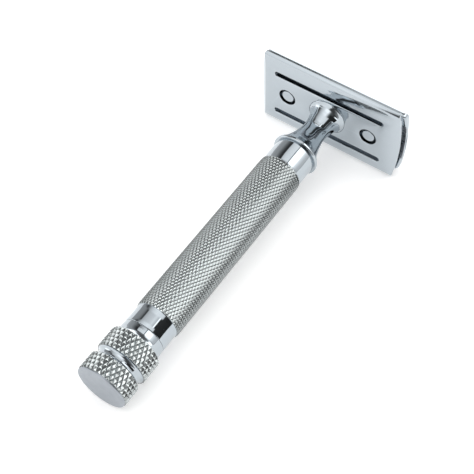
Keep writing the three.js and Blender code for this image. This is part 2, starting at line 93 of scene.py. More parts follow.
PLATE_UNDERSIDE = 95.84
PLATE_HALF_LENGTH = 21.1
PLATE_CORNER_HALF_LENGTH = 20.2
PLATE_CORNER_RADIUS = 0.9
PLATE_HALF_WIDTH = 12.45
PLATE_RIM = 97.2
PLATE_EDGE_BEVEL = 0.09
PLATE_FLAT_HALF_LENGTH = 19.3
GUARD_ROLL_START = 9.08
GUARD_EDGE_HEIGHT = 0.3
PLATFORM_HALF_WIDTH = 9.4
PLATFORM_HALF_LENGTH = 19.6
SLOT_LENGTH = 32.8
SLOT_WIDTH = 1.6
SLOT_OFFSET = 7.0
BLADE_BOW_RADIUS = 40.5
BLADE_APEX = 99.5
BLADE_THICKNESS = 0.1
BLADE_HALF_LENGTH = 21.5
EDGE_HALF_LENGTH = 18.7
BLADE_HALF_WIDTH = 10.87
BLADE_GROUND_WIDTH = 1.0
GROUND_START = BLADE_HALF_WIDTH - BLADE_GROUND_WIDTH
TAB_HALF_WIDTH = 6.2
BLADE_SLOT_HALF_LENGTH = 16.8
BLADE_SLOT_WIDTH = 2.0
BLADE_PIN_OPENING_RADIUS = 2.2
BLADE_STUD_OPENING_RADIUS = 3.2
CAP_HALF_LENGTH = 21.8
CAP_CORNER_HALF_LENGTH = 21.2
CAP_CORNER_RADIUS = 1.8
CAP_LIP_HEIGHT = 0.95
CAP_HALF_WIDTH = 10.62
CAP_TOP = 101.4
PIN_OFFSET = 12.41
PIN_RADIUS = 1.8
PIN_TOP = 100.5
PIN_HOLE_RADIUS = 2.5
FLANGE_RADIUS = 3.2
FLANGE_TOP = 100.7
STUD_RADIUS = 1.95
STUD_BOTTOM = 76.6
THREAD_PITCH = 0.7

# Knurling: starts round, half rows along, how deep it is cut, how finely each cell is drawn and how
# far its ends are chamfered.
BAND_STARTS = 34
BAND_DEPTH = 0.42
BAND_STEPS = 5
LOWER_BAND_HALF_ROWS = 4
LOWER_BAND_CHAMFER = 0.22
UPPER_BAND_HALF_ROWS = 5
UPPER_BAND_CHAMFER = 0.25
GRIP_STARTS = 41
GRIP_HALF_ROWS = 63
GRIP_DEPTH = 0.3
GRIP_STEPS = 3
GRIP_CHAMFER = 0.16

# How many sides stand for a full circle, and how close two points are before they are welded.
END_CAP_STEPS = 192
NECK_STEPS = 224
STUD_STEPS = 48
PIN_STEPS = 72
HOLE_STEPS = 64
BLADE_HOLE_STEPS = 48
FOOT_SEAT_STEPS = 96
WELD_DISTANCE = 1e-4

# ---------------------------------------- the handle's place

MM = 0.001
knob_joint = {j["name"]: j for j in frame["joints"]}["knob_turn"]
HANDLE_FOOT = np.array(knob_joint["pos_m"], float)
ALONG = -np.array(knob_joint["axis"], float)
ALONG /= np.linalg.norm(ALONG)
HEADWISE = np.array([0.0, -1.0, 0.0])
CROSSWISE = np.cross(ALONG, HEADWISE)
TO_ROW = np.column_stack([HEADWISE, CROSSWISE, ALONG])


def to_row(points):
    """Points in handle coordinates, in millimetres, as points of the row frame, in metres."""
    return HANDLE_FOOT + (np.asarray(points, float) * MM) @ TO_ROW.T


# ---------------------------------------- materials


class Nodes:
    """Short calls for building one node tree."""

    def __init__(self, tree):
        self.tree = tree
        self.tree.nodes.clear()

    def put(self, socket, value):
        if isinstance(value, bpy.types.NodeSocket):
            self.tree.links.new(value, socket)
        else:
            socket.default_value = value

    def node(self, kind, inputs=(), **settings):
        made = self.tree.nodes.new(kind)
        for key, value in settings.items():
            setattr(made, key, value)
        for key, value in dict(inputs).items():
            self.put(made.inputs[key], value)
        return made

    def math(self, operation, first, second=0.0, third=0.0):
        made = self.node("ShaderNodeMath", operation=operation)
        for socket, value in zip(made.inputs, (first, second, third)):
            self.put(socket, value)
        return made.outputs[0]

    def times(self, first, second):
        return self.math("MULTIPLY", first, second)

    def span(self, value, low, high, to_low=0.0, to_high=1.0):
        """value mapped from low..high to to_low..to_high, held at both ends."""
        return self.node(
            "ShaderNodeMapRange",
            {"Value": value, "From Min": low, "From Max": high, "To Min": to_low, "To Max": to_high},
        ).outputs["Result"]

    def mix(self, factor, first, second):
        """Two colours mixed. The mix node keeps its colour inputs in sockets 6 and 7."""
        return self.node("ShaderNodeMix", {0: factor, 6: first, 7: second}, data_type="RGBA").outputs[2]

    def parts(self, vector):
        return self.node("ShaderNodeSeparateXYZ", {"Vector": vector}).outputs


class Surface(Nodes):
    """One material, with its patterns laid out in handle coordinates."""

    def __init__(self, name):
        self.material = bpy.data.materials.new(name)
        self.material.use_nodes = True
        super().__init__(self.material.node_tree)
        self.shader = self.node("ShaderNodeBsdfPrincipled")
        self.node("ShaderNodeOutputMaterial", {"Surface": self.shader.outputs[0]})

    def finish(self, inputs):
        """Fills in the shader and returns the material."""
        for key, value in inputs.items():
            self.put(self.shader.inputs[key], value)
        return self.material

    def handle_point(self):
        """The point in handle coordinates, in millimetres."""
        place = self.node("ShaderNodeTexCoord").outputs["Object"]
        turn = Matrix(TO_ROW.T.tolist()).to_euler()
        shift = -(TO_ROW.T @ HANDLE_FOOT) / MM
        return self.node(
            "ShaderNodeMapping",
            {"Vector": place, "Scale": (1 / MM,) * 3, "Rotation": turn, "Location": tuple(shift)},
        ).outputs[0]

    def radius(self, x, y):
        square = self.math("ADD", self.times(x, x), self.times(y, y))
        return self.math("SQRT", square)

    def rings(self, point, fineness):
        """A place for a pattern that is the same all the way round the handle."""
        x, y, z = self.parts(point)
        out, up = (self.times(value, fineness) for value in (self.radius(x, y), z))
        return self.node("ShaderNodeCombineXYZ", {"X": out, "Z": up}).outputs[0]

    def edge_on(self, x, y):
        """How far the round handle has turned away from the viewer: 0 facing, 1 edge on."""
        outward = self.node("ShaderNodeCombineXYZ", {"X": x, "Y": y}).outputs[0]
        turn = Matrix(TO_ROW.tolist()).to_euler()
        outward = self.node(
            "ShaderNodeMapping", {"Vector": outward, "Rotation": turn}, vector_type="VECTOR"
        ).outputs[0]
        outward = self.node(
            "ShaderNodeVectorTransform", {"Vector": outward},
            vector_type="NORMAL", convert_from="OBJECT", convert_to="WORLD",
        ).outputs[0]
        outward = self.node("ShaderNodeVectorMath", {0: outward}, operation="NORMALIZE").outputs[0]
        return self.facing({"Normal": outward})

    def facing(self, inputs=()):
        """0 where the surface faces the viewer, 1 where it is edge on."""
        return self.node("ShaderNodeLayerWeight", {"Blend": 0.5, **dict(inputs)}).outputs["Facing"]

    def stretched(self, vector, scale, turn=(0.0, 0.0, 0.0)):
        inputs = {"Vector": vector, "Scale": scale, "Rotation": turn}
        return self.node("ShaderNodeMapping", inputs).outputs[0]

    def noise(self, vector, scale, detail=2.0, roughness=0.5, distortion=0.0):
        inputs = {
            "Vector": vector, "Scale": scale, "Detail": detail, "Roughness": roughness,
            "Distortion": distortion,
        }
        return self.node("ShaderNodeTexNoise", inputs).outputs[0]

    def bump(self, height, distance, normal=None):
        """A bump of some depth in metres, on top of another normal if one is given."""
        inputs = {"Height": height, "Distance": distance}
        if normal is not None:
            inputs["Normal"] = normal
        return self.node("ShaderNodeBump", inputs).outputs[0]

    def scratches(self, vector, seed, fineness=1.0):
        """Thin straight marks in a few directions, 1 on a mark and 0 off it."""
        total = None
        for number in range(3):
            turn = (0.7 * seed + 1.3 * number, 1.9 * seed + 0.8 * number, 0.4 + 2.1 * number)
            long = self.stretched(vector, (0.16, 5.5 * fineness, 5.5 * fineness), turn)
            marks = self.span(self.noise(long, 1.0, 3.0, 0.55), 0.655, 0.70)
            total = marks if total is None else self.math("MAXIMUM", total, marks)
        return total

    def worn_edge(self):
        """1 on a sharp outer edge and 0 on flat ground."""
        return self.span(self.node("ShaderNodeNewGeometry").outputs["Pointiness"], 0.52, 0.60)


def colour(red, green, blue):
    return (red, green, blue, 1.0)


def toned(base, factor):
    """The colour made lighter or darker."""
    return colour(*[min(1.0, part * factor) for part in base[:3]])


# What a knurl changes in its plating. bottom and crest are its radii. The next three fields say how far
# dirt with painted shade deep in the grooves, painted shade on facets seen at a slant and painted shade
# on the handle's far sides darken it. bands lists the (low, high) heights that it covers.
KnurlLook = namedtuple("KnurlLook", "bottom crest grime flank side bands")

# Knurled plating is frosted by its fine texture, so part of the light scatters.
KNURL_TONE = colour(0.89, 0.95, 0.95)
# KNURL_SHADOW is the colour of the painted shade on the handle's far sides.
KNURL_SHADOW = colour(0.02, 0.022, 0.024)
KNURL_SCATTER = 0.05


def knurled(g, look, base, point, tone, rough, normal):
    """The tone, roughness, normal and metallic share of plating that covers a knurl. The tone carries
    dirt with painted shade in the grooves, and painted shade on slanted facets and on the handle's far
    sides.
    """
    x, y, z = g.parts(point)
    inside = None
    for low_end, high_end in look.bands:
        above, below = g.math("GREATER_THAN", z, low_end), g.math("LESS_THAN", z, high_end)
        band = g.times(above, below)
        inside = band if inside is None else g.math("MAXIMUM", inside, band)
    depth = g.math("SUBTRACT", 1.0, g.span(g.radius(x, y), look.bottom, look.crest))
    patches = g.span(g.noise(point, 3.1, 3.0, 0.6), 0.3, 0.6, 0.5, 1.0)
    # Dirt with painted shade: darker deep in the grooves, in patches.
    grime = g.times(g.times(depth, patches), inside)
    # Painted shade: facets seen at a slant are darkened towards a dark copy of the base colour.
    flank = g.times(g.span(g.facing(), 0.16, 0.74), inside)
    # Painted shade: the handle's far sides, turned away from the view, are darkened towards
    # KNURL_SHADOW.
    side = g.times(g.span(g.edge_on(x, y), 0.10, 0.38), inside)
    tone = g.mix(inside, tone, KNURL_TONE)
    tone = g.mix(g.times(flank, look.flank), tone, toned(base, 0.10))
    tone = g.mix(g.times(side, look.side), tone, KNURL_SHADOW)
    tone = g.mix(g.times(grime, look.grime), tone, toned(base, 0.30))
    frost = g.span(g.noise(point, 5.0, 2.0, 0.5), 0.35, 0.65, 0.8, 1.2)
    rough = g.math("MULTIPLY_ADD", grime, 0.12, rough)
    rough = g.math("MULTIPLY_ADD", g.times(inside, frost), 0.07, rough)
    grain = g.times(g.noise(point, 16.0, 2.0, 0.6), inside)
    metallic = g.math("SUBTRACT", 1.0, g.times(inside, KNURL_SCATTER))
    return tone, rough, g.bump(grain, 1.6e-6, normal), metallic


def plated(name, base, roughness, smudge, scratch, waviness, lathe, seed, look=None):
    """Bright plated metal: long polish ripples, smudges, handling scratches and, on a turned piece,
    faint rings left by the tool. lathe is the depth of those rings, in metres."""
    g = Surface(name)
    point = g.handle_point()
    smear = g.noise(g.stretched(point, (0.5, 0.5, 0.35)), 1.0, 4.0, 0.6, 0.4)
    specks = g.noise(point, 9.0, 2.0, 0.7)
    marks = g.scratches(point, seed)
    hair = g.scratches(point, seed + 3.7, 2.6)
    wear = g.times(g.worn_edge(), 0.6)
    rough = g.math("MULTIPLY_ADD", g.span(smear, 0.42, 0.68), smudge, roughness)
    rough = g.math("MULTIPLY_ADD", marks, scratch, rough)
    rough = g.math("MULTIPLY_ADD", hair, scratch * 0.5, rough)
    rough = g.math("MULTIPLY_ADD", wear, 0.05, rough)
    tone = g.mix(g.span(specks, 0.3, 0.75), base, toned(base, 1.03))
    tone = g.mix(g.times(g.span(smear, 0.35, 0.7), 0.10), tone, toned(base, 0.86))
    tone = g.mix(wear, tone, toned(base, 1.12))
    normal = g.bump(g.noise(point, 0.32, 2.0, 0.4), 3.0e-6 * waviness)
    normal = g.bump(g.noise(point, 2.2, 2.0, 0.5), 3.5e-7 * waviness, normal)
    if lathe:
        normal = g.bump(g.noise(g.rings(point, 14.0), 1.0, 3.0, 0.65), lathe, normal)
    metallic = 1.0
    if look:
        tone, rough, normal, metallic = knurled(g, look, base, point, tone, rough, normal)
    normal = g.bump(g.math("ADD", marks, g.times(hair, 0.5)), -2.2e-7, normal)
    rough = g.math("MINIMUM", rough, 0.9)
    return g.finish({"Base Color": tone, "Metallic": metallic, "Roughness": rough, "Normal": normal})


def brushed(name, base, roughness, direction, depth, seed, honed=None):
    """Bare metal with a grain. direction is "turned" for rings round the handle, or "long" for lines
    along the head. honed gives the distance across at which a blade's ground edge starts."""
    g = Surface(name)
    point = g.handle_point()
    grain_at = g.rings(point, 18.0) if direction == "turned" else g.stretched(point, (0.35, 26.0, 26.0))
    grain = g.noise(grain_at, 1.0, 4.0, 0.7)
    smear = g.noise(g.stretched(point, (0.4, 0.6, 0.4)), 1.0, 4.0, 0.6, 0.5)
    marks = g.scratches(point, seed)
    tone = g.mix(g.span(grain, 0.3, 0.7), toned(base, 0.86), toned(base, 1.08))
    tone = g.mix(g.times(g.span(smear, 0.45, 0.75), 0.25), tone, toned(base, 0.72))
    tone = g.mix(g.times(g.worn_edge(), 0.5), tone, toned(base, 1.2))
    rough = g.math("MULTIPLY_ADD", g.span(grain, 0.25, 0.75), 0.10, roughness)
    rough = g.math("MULTIPLY_ADD", g.span(smear, 0.4, 0.7), 0.10, rough)
    rough = g.math("MULTIPLY_ADD", marks, 0.08, rough)
    if honed:
        across = g.math("ABSOLUTE", g.parts(point)[1])
        edge = g.span(across, honed, honed + 0.06)
        tone = g.mix(edge, tone, toned(base, 1.3))
        rough = g.times(rough, g.span(edge, 0.0, 1.0, 1.0, 0.55))
    normal = g.bump(marks, -3.0e-7, g.bump(grain, depth))
    return g.finish({"Base Color": tone, "Metallic": 1.0, "Roughness": rough, "Normal": normal})


def moulded(name, base):
    """Plain nylon: cloudy colour, fine pores and a little light passing through."""
    g = Surface(name)
    point = g.handle_point()
    cloud = g.noise(point, 1.4, 4.0, 0.6)
    pores = g.noise(point, 22.0, 3.0, 0.6)
    return g.finish({
        "Base Color": g.mix(g.span(cloud, 0.3, 0.7), toned(base, 0.88), base),
        "Roughness": g.math("MULTIPLY_ADD", pores, 0.3, 0.35),
        "Subsurface Weight": 0.1,
        "Subsurface Scale": 0.001,
        "Normal": g.bump(pores, 4.0e-6),
    })


CHROME = colour(0.455, 0.50, 0.535)
knob_look = KnurlLook(
    bottom=KNOB_RADIUS - BAND_DEPTH,
    crest=KNOB_RADIUS - 0.08,
    grime=0.5,
    flank=0.85,
    side=0.30,
    bands=[
        (END_CAP_THICKNESS, LOWER_BAND_TOP + 0.02),
        (UPPER_BAND_BOTTOM - 0.02, UPPER_BAND_TOP + 0.02),
    ],
)
grip_look = KnurlLook(
    bottom=GRIP_RADIUS - GRIP_DEPTH,
    crest=GRIP_RADIUS - 0.06,
    grime=0.35,
    flank=0.5,
    side=0.60,
    bands=[(GRIP_BOTTOM, GRIP_TOP)],
)
SATIN_CHROME = colour(0.345, 0.375, 0.41)
# Each row: name, colour, roughness, smudges, scratches, waviness, depth of tool rings, seed.
knob_chrome = plated("KnobChrome", CHROME, 0.03, 0.03, 0.07, 0.6, 2.5e-8, 2.0, knob_look)
tube_chrome = plated("TubeChrome", CHROME, 0.03, 0.03, 0.07, 0.6, 2.0e-8, 5.0, grip_look)
neck_chrome = plated("NeckChrome", CHROME, 0.02, 0.03, 0.06, 0.8, 1.5e-8, 7.0)
plate_chrome = plated("PlateChrome", CHROME, 0.05, 0.05, 0.08, 1.0, 0.0, 9.0)
cap_chrome = plated("CapChrome", CHROME, 0.04, 0.05, 0.08, 1.0, 0.0, 11.0)
pin_chrome = plated("PinChrome", CHROME, 0.08, 0.06, 0.08, 0.8, 3.0e-8, 13.0)
end_chrome = plated("EndChrome", SATIN_CHROME, 0.34, 0.08, 0.06, 0.5, 9.0e-7, 15.0)
# Each row: name, colour, roughness, direction of the grain, its depth, seed.
blade_steel = brushed(
    "BladeSteel", colour(0.33, 0.345, 0.37), 0.20, "long", 4.0e-7, 17.0, GROUND_START
)
turned_steel = brushed("TurnedSteel", colour(0.46, 0.46, 0.47), 0.28, "turned", 6.0e-7, 19.0)
spring_steel = brushed("SpringSteel", colour(0.16, 0.18, 0.22), 0.32, "turned", 5.0e-7, 21.0)
turned_brass = brushed("TurnedBrass", colour(0.70, 0.47, 0.18), 0.26, "turned", 6.0e-7, 23.0)
white_nylon = moulded("WhiteNylon", colour(0.78, 0.74, 0.64))

# ---------------------------------------- mesh helpers


def finished(name, mesh, material, body, replaced, sharp=30.0):
    """A mesh in handle coordinates, put in the row frame as a piece that stands for a CAD node."""
    points = np.empty(len(mesh.vertices) * 3)
    mesh.vertices.foreach_get("co", points)
    mesh.vertices.foreach_set("co", to_row(points.reshape(-1, 3)).ravel())
    mesh.materials.clear()
    mesh.materials.append(material)
    mesh.shade_smooth()
    mesh.set_sharp_from_angle(angle=math.radians(sharp))
    mesh.update()
    piece = bpy.data.objects.new(name, mesh)
    bpy.context.scene.collection.objects.link(piece)
    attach(piece, body)
    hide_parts(*replaced)
    return piece


def outward(mesh):
    """Turns every face outwards."""
    work = bmesh.new()
    work.from_mesh(mesh)
    bmesh.ops.recalc_face_normals(work, faces=work.faces)
    work.to_mesh(mesh)
    work.free()
    return mesh


def knurl(bottom, top, crest, depth, starts, half_rows, steps, chamfer):
    """Rows of a diamond knurl, each as (height, radii, split). Grooves cross the grid's cells from
    corner to corner, and split says which way the small squares above a row are cut so that their
    edges run along the grooves."""
    columns = np.arange(2 * starts * steps)
    across, shift = columns // steps, (columns % steps) / steps
    rows = []
    for number in range(half_rows * steps + 1):
        row = min(number // steps, half_rows - 1)
        up = number / steps - row
        even = (across + row) % 2 == 0
        off_groove = np.where(even, np.abs(shift - up), np.abs(shift + up - 1))
        # The crests are blunt: full height comes a little early, and the tip dips again.
        height = np.minimum(1.0, off_groove * 1.12)
        height = height - 0.10 * np.maximum(0.0, off_groove - 0.8) / 0.2
        radii = crest - depth * (1 - height)
        at = bottom + (top - bottom) * number / (half_rows * steps)
        inside = min(at - bottom, top - at)
        radii = np.minimum(radii, crest - chamfer + inside)
        rows.append((at, radii, np.where(even, 1, 2)))
    return rows


def turned(name, profile, columns, material, body, replaced, sharp=30.0, aside=0.0):
    """A piece turned about the handle's axis. profile lists (radius, height) pairs and knurl rows, up
    the outside and, for a hollow piece, down the bore. A solid piece starts and ends on the axis.
    aside moves the piece along the head."""
    angles = 2 * np.pi * np.arange(columns) / columns
    cosines, sines = np.cos(angles), np.sin(angles)
    points, rings, splits = [], [], []
    for entry in profile:
        if len(entry) == 3:
            height, radii, split = entry
        else:
            radii, height, split = np.full(columns, float(entry[0])), entry[1], np.zeros(columns, int)
        first = sum(len(p) for p in points)
        if np.all(radii < 1e-9):
            points.append(np.array([[0.0, 0.0, height]]))
            rings.append([first] * columns)
        else:
            points.append(np.column_stack([radii * cosines, radii * sines, np.full(columns, height)]))
            rings.append(list(range(first, first + columns)))
        splits.append(split)
    solid = len(set(rings[0])) == 1
    if not solid:
        rings.append(rings[0])
    faces = []
    for number in range(len(rings) - 1):
        low, high, split = rings[number], rings[number + 1], splits[number]
        next_split = splits[(number + 1) % len(splits)]
        knurled = split.any() and next_split.any()
        for a in range(columns):
            b = (a + 1) % columns
            if low[a] == low[b]:
                faces.append((low[a], high[b], high[a]))
            elif high[a] == high[b]:
                faces.append((low[a], low[b], high[a]))
            elif not knurled:
                faces.append((low[a], low[b], high[b], high[a]))
            elif split[a] == 1:
                faces.append((low[a], low[b], high[b]))
                faces.append((low[a], high[b], high[a]))
            else:
                faces.append((low[a], low[b], high[a]))
                faces.append((low[b], high[b], high[a]))
    points = np.vstack(points) + (aside, 0.0, 0.0)
    mesh = bpy.data.meshes.new(name)
    mesh.from_pydata(points.tolist(), [], faces)
    return finished(name, outward(mesh), material, body, replaced, sharp)


def quadratic(start, control, end, steps):
    """Points after the start of a curve that bends towards control."""
    start, control, end = (np.array(p, float) for p in (start, control, end))
    return [tuple((1 - t) ** 2 * start + 2 * t * (1 - t) * control + t ** 2 * end)
            for t in (i / steps for i in range(1, steps + 1))]


def rounded(corner, before, after, radius, steps=4):
    """Points of a fillet at a profile's corner, between its two neighbours."""
    corner, before, after = (np.array(p, float) for p in (corner, before, after))
    back = (before - corner) / np.linalg.norm(before - corner)
    ahead = (after - corner) / np.linalg.norm(after - corner)
    start, end = corner + back * radius, corner + ahead * radius
    return [tuple(start), *quadratic(start, corner, end, steps)]


def spline(points, count):
    """A smooth curve through the points, evenly in each gap."""
    p = np.array([points[0], *points, points[-1]], float)
    made = []
    for t in np.linspace(0, len(points) - 1, count):
        i = min(int(t), len(points) - 2)
        u = t - i
        a, b, c, d = p[i : i + 4]
        m0, m1 = (c - a) / 2, (d - b) / 2
        cubic, square = 2 * b - 2 * c + m0 + m1, -3 * b + 3 * c - 2 * m0 - m1
        made.append(tuple(cubic * u ** 3 + square * u ** 2 + m0 * u + b))
    return made


def bow(across, offset=0.0):
    """Height of the blade's middle surface, or of one parallel to it."""
    return BLADE_APEX - BLADE_BOW_RADIUS + math.sqrt((BLADE_BOW_RADIUS + offset) ** 2 - across ** 2)


def mesh_from(work, name):
    """Ends a bmesh and returns it as a mesh, its faces turned outwards."""
    bmesh.ops.recalc_face_normals(work, faces=work.faces)
    mesh = bpy.data.meshes.new(name)
    work.to_mesh(mesh)
    work.free()
    return mesh


def upright(u, v, w):
    return (u, v, w)


def along_head(u, v, w):
    return (w, u, v)


def across_head(u, v, w):
    return (u, w, v)


def loft(levels, place=upright):
    """A solid through closed outlines of the same number of (u, v) pairs, listed as (w, outline).
    place turns (u, v, w) into handle coordinates."""
    work = bmesh.new()
    rings = [[work.verts.new(place(u, v, w)) for u, v in outline] for w, outline in levels]
    count = len(rings[0])
    work.faces.new(rings[0][::-1])
    work.faces.new(rings[-1])
    for lower, upper in zip(rings, rings[1:]):
        for i in range(count):
            j = (i + 1) % count
            work.faces.new((lower[i], lower[j], upper[j], upper[i]))
    return mesh_from(work, "loft")


def prism(outline, low, high, place=upright):
    return loft([(low, outline), (high, outline)], place)


def circle(radius, steps, x=0.0):
    angles = [2 * math.pi * i / steps for i in range(steps)]
    return [(x + radius * math.cos(angle), radius * math.sin(angle)) for angle in angles]


def temporary(mesh):
    made = bpy.data.objects.new("temporary", mesh)
    bpy.context.scene.collection.objects.link(made)
    return made


def applied(body, *tools):
    """The body's mesh with its modifiers applied. The body and the tools are then removed."""
    bpy.context.view_layer.update()
    depsgraph = bpy.context.evaluated_depsgraph_get()
    made = bpy.data.meshes.new_from_object(body.evaluated_get(depsgraph))
    for used in (body, *tools):
        bpy.data.objects.remove(used)
    return made


def combined(mesh, steps):
    """The mesh after boolean steps, listed as (operation, mesh)."""
    body = temporary(mesh)
    tools = []
    for operation, other in steps:
        tool = temporary(other)
        tools.append(tool)
        modifier = body.modifiers.new("cut", "BOOLEAN")
        modifier.operation = operation
        modifier.solver = "EXACT"
        modifier.object = tool
    return applied(body, *tools)


def rounded_edges(mesh, width, angle, segments):
    """The mesh with a bevel on each edge sharper than an angle, in degrees."""
    body = temporary(mesh)
    modifier = body.modifiers.new("round", "BEVEL")
    modifier.width = width
    modifier.segments = segments
    modifier.limit_method = "ANGLE"
    modifier.angle_limit = math.radians(angle)
    return applied(body)


def bevelled(mesh, width):
    """The mesh with its flat faces joined up and its sharp edges rounded."""
    work = bmesh.new()
    work.from_mesh(mesh)
    bmesh.ops.remove_doubles(work, verts=work.verts, dist=WELD_DISTANCE)
    bmesh.ops.dissolve_limit(
        work, angle_limit=math.radians(1.0), verts=work.verts, edges=work.edges,
        use_dissolve_boundaries=False,
    )
    work.to_mesh(mesh)
    work.free()
    return rounded_edges(mesh, width, angle=30.0, segments=2)


def mirrored(half):
    """A closed outline from the points of its right side, listed going up."""
    return list(half) + [(-u, v) for u, v in reversed(half) if abs(u) > 1e-9]


def bulged_outline(half_length, corner_half_length, half_width, corner_radius, steps=10):
    """A head outline seen from above: straight long edges, round corners and ends that bulge."""
    straight = half_width - corner_radius
    quarter = corner_half_length - corner_radius
    right = [(quarter, -half_width)]
    right += quadratic(
        right[-1], (corner_half_length, -half_width), (corner_half_length, -straight), steps
    )
    bulge = (2 * half_length - corner_half_length, 0)
    right += quadratic(right[-1], bulge, (corner_half_length, straight), 2 * steps)
    right += quadratic(right[-1], (corner_half_length, half_width), (quarter, half_width), steps)
    return right + [(-x, -y) for x, y in right]


# ---------------------------------------- knob

band_columns = 2 * BAND_STARTS * BAND_STEPS
knob_bottom = END_CAP_THICKNESS + FIT_GAP
groove_middle = (LOWER_BAND_TOP + UPPER_BAND_BOTTOM) / 2
lower_band = knurl(
    knob_bottom, LOWER_BAND_TOP, KNOB_RADIUS, BAND_DEPTH, BAND_STARTS, LOWER_BAND_HALF_ROWS,
    BAND_STEPS, LOWER_BAND_CHAMFER,
)
upper_band = knurl(
    UPPER_BAND_BOTTOM, UPPER_BAND_TOP, KNOB_RADIUS, BAND_DEPTH, BAND_STARTS, UPPER_BAND_HALF_ROWS,
    BAND_STEPS, UPPER_BAND_CHAMFER,
)
groove = spline(
    [
        (6.3, LOWER_BAND_TOP + 0.03), (6.02, LOWER_BAND_TOP + 0.25), (5.82, LOWER_BAND_TOP + 0.6),
        (GROOVE_RADIUS, groove_middle), (5.82, UPPER_BAND_BOTTOM - 0.6),
        (6.02, UPPER_BAND_BOTTOM - 0.25), (6.3, UPPER_BAND_BOTTOM - 0.03),
    ],
    19,
)
flare = spline(
    [
        (6.3, UPPER_BAND_TOP + 0.03), (6.12, 13.15), (5.98, 13.5), (5.82, 14.0), (5.72, 14.6),
        (5.65, 15.3), (KNOB_TOP_RADIUS, KNOB_TOP - 0.12),
    ],
    17,
)
tail_bore = ROD_TAIL_RADIUS + RUNNING_GAP
turned(
    "knob_body",
    [
        (NUT_POCKET_RADIUS, knob_bottom), (KNOB_RADIUS - BAND_DEPTH - 0.3, knob_bottom),
        *lower_band, *groove, *upper_band, *flare,
        *rounded((KNOB_TOP_RADIUS, KNOB_TOP), flare[-1], (KNOB_TOP_FACE_RADIUS, KNOB_TOP), 0.1),
        (KNOB_TOP_FACE_RADIUS, KNOB_TOP), (WASHER_POCKET_RADIUS, KNOB_TOP),
        (WASHER_POCKET_RADIUS, WASHER_SEAT), (tail_bore, WASHER_SEAT), (tail_bore, NUT_SEAT),
        (NUT_POCKET_RADIUS, NUT_SEAT),
    ],
    band_columns, knob_chrome, "knob", ["knob"], sharp=38.0,
)

plug_radius = NUT_POCKET_RADIUS - FIT_GAP
turned(
    "knob_end_disc",
    [
        (0, 0), (2.0, 0), (4.0, 0), (5.4, 0), (6.2, 0.004),
        *rounded((END_CAP_RADIUS, 0.0), (6.2, 0.0), (END_CAP_RADIUS, 0.3), 0.16, 6),
        (END_CAP_RADIUS, END_CAP_THICKNESS), (plug_radius, END_CAP_THICKNESS), (plug_radius, 1.5),
        (plug_radius - 0.1, 1.6), (0, 1.6),
    ],
    END_CAP_STEPS, end_chrome, "knob", ["knob_end_cap"],
)

# ---------------------------------------- handle tube

grip_columns = 2 * GRIP_STARTS * GRIP_STEPS
grip = knurl(
    GRIP_BOTTOM + 0.02, GRIP_TOP - 0.02, GRIP_RADIUS, GRIP_DEPTH, GRIP_STARTS, GRIP_HALF_ROWS,
    GRIP_STEPS, GRIP_CHAMFER,
)
turned(
    "handle_sleeve",
    [
        (TUBE_BORE_RADIUS, TUBE_BOTTOM), (TUBE_END_FACE_RADIUS, TUBE_BOTTOM),
        *rounded(
            (LOWER_COLLAR_RADIUS, TUBE_BOTTOM),
            (TUBE_END_FACE_RADIUS, TUBE_BOTTOM),
            (LOWER_COLLAR_RADIUS, 17),
            0.12,
        ),
        (LOWER_COLLAR_RADIUS, 17.5), (LOWER_COLLAR_RADIUS, 19.2),
        (LOWER_COLLAR_RADIUS, GRIP_BOTTOM - 0.12), (LOWER_COLLAR_RADIUS + 0.02, GRIP_BOTTOM - 0.02),
        *grip, (UPPER_COLLAR_RADIUS + 0.02, GRIP_TOP), (UPPER_COLLAR_RADIUS, GRIP_TOP + 0.1),
        (UPPER_COLLAR_RADIUS, 75.5), (UPPER_COLLAR_RADIUS, 78.0),
        *rounded(
            (UPPER_COLLAR_RADIUS, TUBE_TOP),
            (UPPER_COLLAR_RADIUS, 79),
            (TUBE_END_FACE_RADIUS, TUBE_TOP),
            0.12,
        ),
        (TUBE_END_FACE_RADIUS, TUBE_TOP), (TUBE_BORE_RADIUS, TUBE_TOP),
    ],
    grip_columns, tube_chrome, "handle", ["handle_tube"], sharp=38.0,
)

# ---------------------------------------- neck

shoulder = TUBE_TOP + FIT_GAP
foot_top = PLATE_UNDERSIDE + FOOT_SEAT_DEPTH - FIT_GAP
waist = spline(
    [
        (6.1, 81.2), (5.03, 83.0), (4.24, 85.0), (3.7, 87.0), (3.35, 89.0), (3.36, 90.5),
        (3.84, 93.0), (4.33, 94.6), (4.75, 95.3), (FOOT_RADIUS - 0.15, 95.66),
    ],
    91,
)
rim_corners = [
    (5.0, shoulder), (RIM_RADIUS - 0.12, shoulder), (RIM_RADIUS, shoulder + 0.2),
    (RIM_RADIUS, shoulder + 0.78), waist[0],
]
rim = rim_corners[:1]
for i, fillet in ((1, 0.08), (2, 0.08), (3, 0.18)):
    rim += rounded(rim_corners[i], rim_corners[i - 1], rim_corners[i + 1], fillet)
turned(
    "neck_column",
    [
        (SPIGOT_BORE_RADIUS, SPIGOT_BOTTOM), (TUBE_BORE_RADIUS - 0.25, SPIGOT_BOTTOM),
        (TUBE_BORE_RADIUS - FIT_GAP, SPIGOT_BOTTOM + 0.2), (TUBE_BORE_RADIUS - FIT_GAP, shoulder),
        *rim, *waist[:-1], *rounded((FOOT_RADIUS, 95.8), waist[-2], (FOOT_RADIUS, foot_top), 0.14),
        (FOOT_RADIUS, foot_top), (RIVET_RADIUS, foot_top), (RIVET_RADIUS, RIVET_TOP - 0.1),
        (RIVET_RADIUS - 0.1, RIVET_TOP), (NECK_BORE_RADIUS + 0.12, RIVET_TOP),
        (NECK_BORE_RADIUS, RIVET_TOP - 0.12), (NECK_BORE_RADIUS, SOCKET_TOP + 0.3),
        (SPIGOT_BORE_RADIUS, SOCKET_TOP + 0.3),
    ],
    NECK_STEPS, neck_chrome, "handle", ["neck"], sharp=35.0,
)

# ---------------------------------------- base plate

